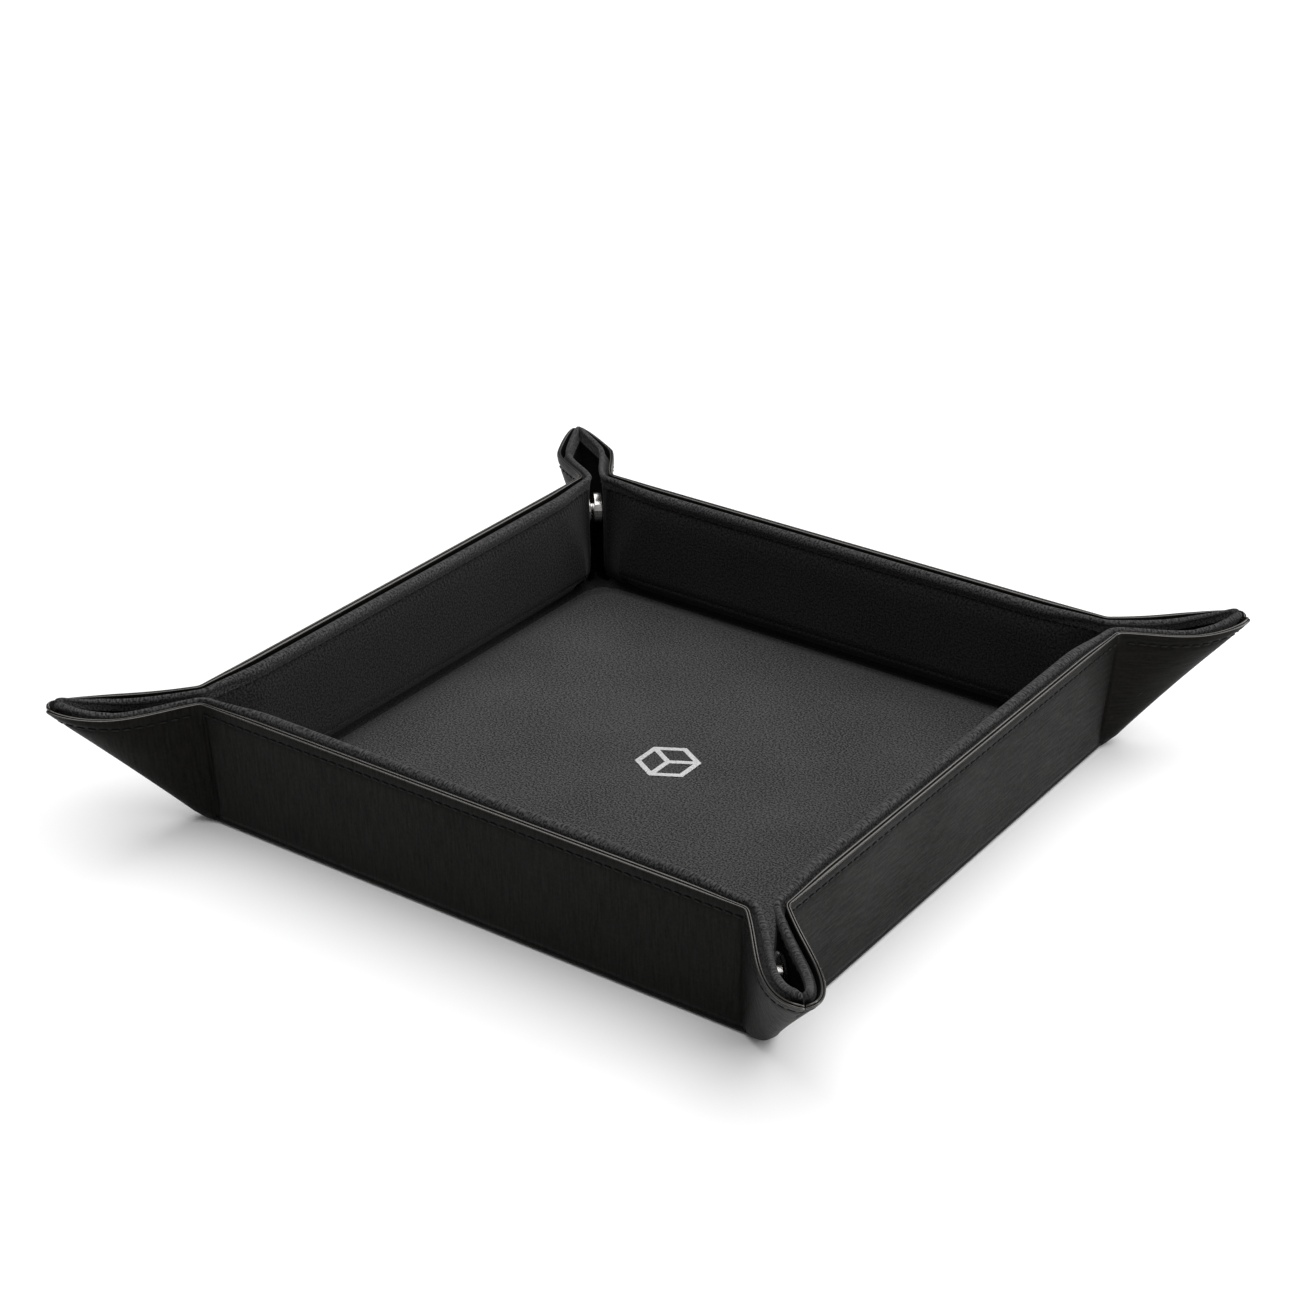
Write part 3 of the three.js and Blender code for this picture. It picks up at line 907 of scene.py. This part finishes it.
def add_valleys():
    for quarter, wall in enumerate(WALLS):
        ends = (CORNERS[quarter], CORNERS[(quarter + 1) % 4])
        ears = tuple(EARS[c] for c in ends)
        reach = crease(LINING_FOOT) - WALL_END
        valley = valley_strip(f"lining_valley_{wall}", np.linspace(-reach, reach, 61),
                              [2.5, 3.4, 4.6, 5.8, 7.0, 8.0],
                              [(8.0, 0.75), (4.0, 0.75), (2.0, 0.85)], quarter, ears)
        for side, corner in ((1, ends[0]), (-1, ends[1])):
            xs = np.linspace(reach, NOOK_END, 10)
            nook = valley_strip(f"lining_nook_{corner}_{wall}", xs if side > 0 else -xs[::-1],
                                [2.5, 3.2, 4.2], [(4.2, 0.75), (3.0, 0.75), (2.0, 0.85)], quarter, ears)


def add_corner_linings():
    """The floor's lining goes on into each corner, flat on the leather."""
    for quarter, corner in enumerate(CORNERS):
        start, end, radius = 85.8, 96.0, 2.5
        turn = np.linspace(0, math.pi / 2, 7)
        ring = [(start, start), (end, start)]
        ring += [(end - radius * (1 - math.cos(t)), end - radius * (1 - math.sin(t))) for t in turn]
        ring += [(start, end)]
        points = [(x, y, z) for z in (1.25, 2.0) for x, y in ring]
        n = len(ring)
        faces = [tuple(range(n))[::-1], tuple(range(n, 2 * n))]
        faces = [(k, (k + 1) % n, n + (k + 1) % n, n + k) for k in range(n)] + faces
        flat = turned_flat(np.array([(x, y) for x, y, z in points]), quarter)
        # These corners take the walls' copy of the cloth, painted darker as shade, and darker still under
        # the ears.
        nook = make_mesh(f"lining_corner_{corner}", turned(points, quarter), faces, flat, shaded_wall_cloth, 2)
        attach(nook, "base")


# ---- stitches -----------------------------------------------------------------------

def stitch_shape():
    """A short fat thread, round in section and tapered at both ends."""
    rings = [(-1.0, 0.25), (-0.86, 0.75), (-0.5, 1.0), (0.0, 1.05), (0.5, 1.0), (0.86, 0.75), (1.0, 0.25)]
    around = 6
    points = [(x, r * math.cos(t), r * math.sin(t)) for x, r in rings
              for t in np.linspace(0, 2 * math.pi, around, endpoint=False)]
    faces = [f[::-1] for f in tube_faces(len(rings), around)]
    faces.append(tuple(range(around)))
    last = (len(rings) - 1) * around
    faces.append(tuple(last + j for j in range(around))[::-1])
    return np.array(points), faces


def stitch_group(name, xs, y, height, ears, quarter, length, thick):
    """A row of stitches at pattern places xs, each slanting a little across the seam."""
    if not len(xs):
        return None
    shape, shape_faces = stitch_shape()
    xs = np.asarray(xs, float)
    h = height(xs)
    middle = place(xs, y, h, ears)
    along = place(xs + 0.3, y, h, ears) - place(xs - 0.3, y, h, ears)
    along /= np.linalg.norm(along, axis=1, keepdims=True)
    normal = place(xs, y, h + 0.5, ears) - middle
    normal -= along * (normal * along).sum(axis=1, keepdims=True)
    normal /= np.linalg.norm(normal, axis=1, keepdims=True)
    side = np.cross(normal, along)
    rng = random.Random(name)
    points, faces = [], []
    for i in range(len(xs)):
        slant = math.radians(4 + rng.uniform(-3, 3))
        a = along[i] * math.cos(slant) + side[i] * math.sin(slant)
        b = np.cross(normal[i], a)
        start = i * len(shape)
        size = shape * (length / 2, thick, thick * 0.8)
        points.append(middle[i] + size[:, :1] * a + size[:, 1:2] * b + size[:, 2:] * normal[i])
        faces += [tuple(start + k for k in face) for face in shape_faces]
    points = np.concatenate(points)
    return make_mesh(name, turned(points, quarter), faces, points[:, :2], thread)


def add_stitches():
    for quarter, wall in enumerate(WALLS):
        ends = (CORNERS[quarter], CORNERS[(quarter + 1) % 4])
        ears = tuple(EARS[c] for c in ends)
        for label, down, thick, length in (("outer", STITCH_DOWN, 0.30, 2.3),
                                           ("inner", SEAM_DOWN, 0.26, 2.1)):
            y = TOP - down
            limit = crease(y) - 1.5
            count = int(limit / STITCH_PITCH)
            xs = np.arange(-count, count + 1) * STITCH_PITCH

            def height(x):
                if label == "outer":
                    return np.full(len(x), -LEATHER + 0.12)
                return roll_middle(x, TOP) + 0.35 * roll_radius(x, TOP) - 0.1

            groups = [(f"stitches_{label}_{wall}", xs, wall + "_wall", None)]
            for side, corner in ((1, ends[0]), (-1, ends[1])):
                start = (count + 1) * STITCH_PITCH
                beyond = np.arange(start, diagonal(y) - 1.6, STITCH_PITCH)
                split = float(fold_start(np.array(y)))
                ear_body, fold_body = f"ear_{corner}_{wall}", f"ear_fold_{corner}_{wall}"
                near = [x for x in beyond if crease(y) + 1.5 < x < split - 1.0]
                far = [x for x in beyond if x >= split - 1.0]
                groups.append((f"stitches_{label}_ear_{corner}_{wall}", [side * x for x in near],
                               ear_body, None))
                if label == "outer":
                    groups.append((f"stitches_{label}_fold_{corner}_{wall}", [side * x for x in far],
                                   ear_body, (fold_body, side)))
            for name, places, body, bending in groups:
                obj = stitch_group(name, places, y, height, ears, quarter, length, thick)
                if obj is None:
                    continue
                if bending:
                    a, b = flip(fold_ends(3.0), bending[1])
                    metres(a, quarter)
                    metres(b, quarter)
                    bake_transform(obj)
                else:
                    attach(obj, body)


add_base()
add_corner_cups()
add_floor()
add_walls()
add_valleys()
add_corner_linings()
add_stitches()

# ---- the fittings kept from the frame -----------------------------------------------

for obj in list(bpy.context.scene.objects):
    if obj.type == "MESH" and (obj.name.startswith("snap_") or obj.name.startswith("floor_motif")):
        obj.data.materials.clear()
        obj.data.materials.append(foil if "motif" in obj.name else nickel)

# ---- camera, floor and light --------------------------------------------------------

def look(azimuth, elevation, distance, target, roll):
    az, el = math.radians(azimuth), math.radians(elevation)
    back = Vector((math.cos(el) * math.sin(az), -math.cos(el) * math.cos(az), math.sin(el)))
    camera = bpy.data.objects.new("camera", bpy.data.cameras.new("camera"))
    bpy.context.scene.collection.objects.link(camera)
    camera.location = Vector(target) + back * distance
    turn = back.to_track_quat("Z", "Y").to_matrix().to_4x4()
    turn = turn @ Matrix.Rotation(math.radians(roll), 4, "Z")
    turn.translation = camera.location
    camera.matrix_world = turn
    return camera


camera = look(34.35, 28.98, 0.7945, (0, 0, 0.015), 0.57)
camera.data.sensor_width = 36
camera.data.lens = 74.16
camera.data.shift_x = -0.014077
camera.data.shift_y = 0.064231
bpy.context.scene.camera = camera


def light(name, location, size, energy, target=(0, 0, 0.02)):
    data = bpy.data.lights.new(name, "AREA")
    data.shape = "RECTANGLE"
    data.size, data.size_y = size
    data.energy = energy
    obj = bpy.data.objects.new(name, data)
    bpy.context.scene.collection.objects.link(obj)
    obj.location = location
    obj.rotation_euler = (Vector(location) - Vector(target)).to_track_quat("Z", "Y").to_euler()
    return obj


light("key_overhead", (0.2, 0.5, 2.2), (4.0, 4.0), 105)
light("side_right", (1.5, 0.8, 0.45), (0.9, 0.8), 11.5)

world = bpy.data.worlds.new("studio")
bpy.context.scene.world = world
world.use_nodes = True
world.node_tree.nodes["Background"].inputs["Color"].default_value = (1, 1, 1, 1)
world.node_tree.nodes["Background"].inputs["Strength"].default_value = 0.3
bpy.context.scene.view_settings.view_transform = "Standard"

ground_mesh = bpy.data.meshes.new("ground")
GROUND_HALF, GROUND_Z = 30.0, -0.0002
ground_mesh.from_pydata([(sx * GROUND_HALF, sy * GROUND_HALF, GROUND_Z)
                         for sx, sy in ((-1, -1), (1, -1), (1, 1), (-1, 1))], [], [(0, 1, 2, 3)])
ground = bpy.data.objects.new("ground", ground_mesh)
bpy.context.scene.collection.objects.link(ground)
ground_mat, _, ground_bsdf = shader("pale_floor")
ground_bsdf.inputs["Base Color"].default_value = (0.92, 0.92, 0.92, 1)
ground_bsdf.inputs["Roughness"].default_value = 0.9
ground_mesh.materials.append(ground_mat)

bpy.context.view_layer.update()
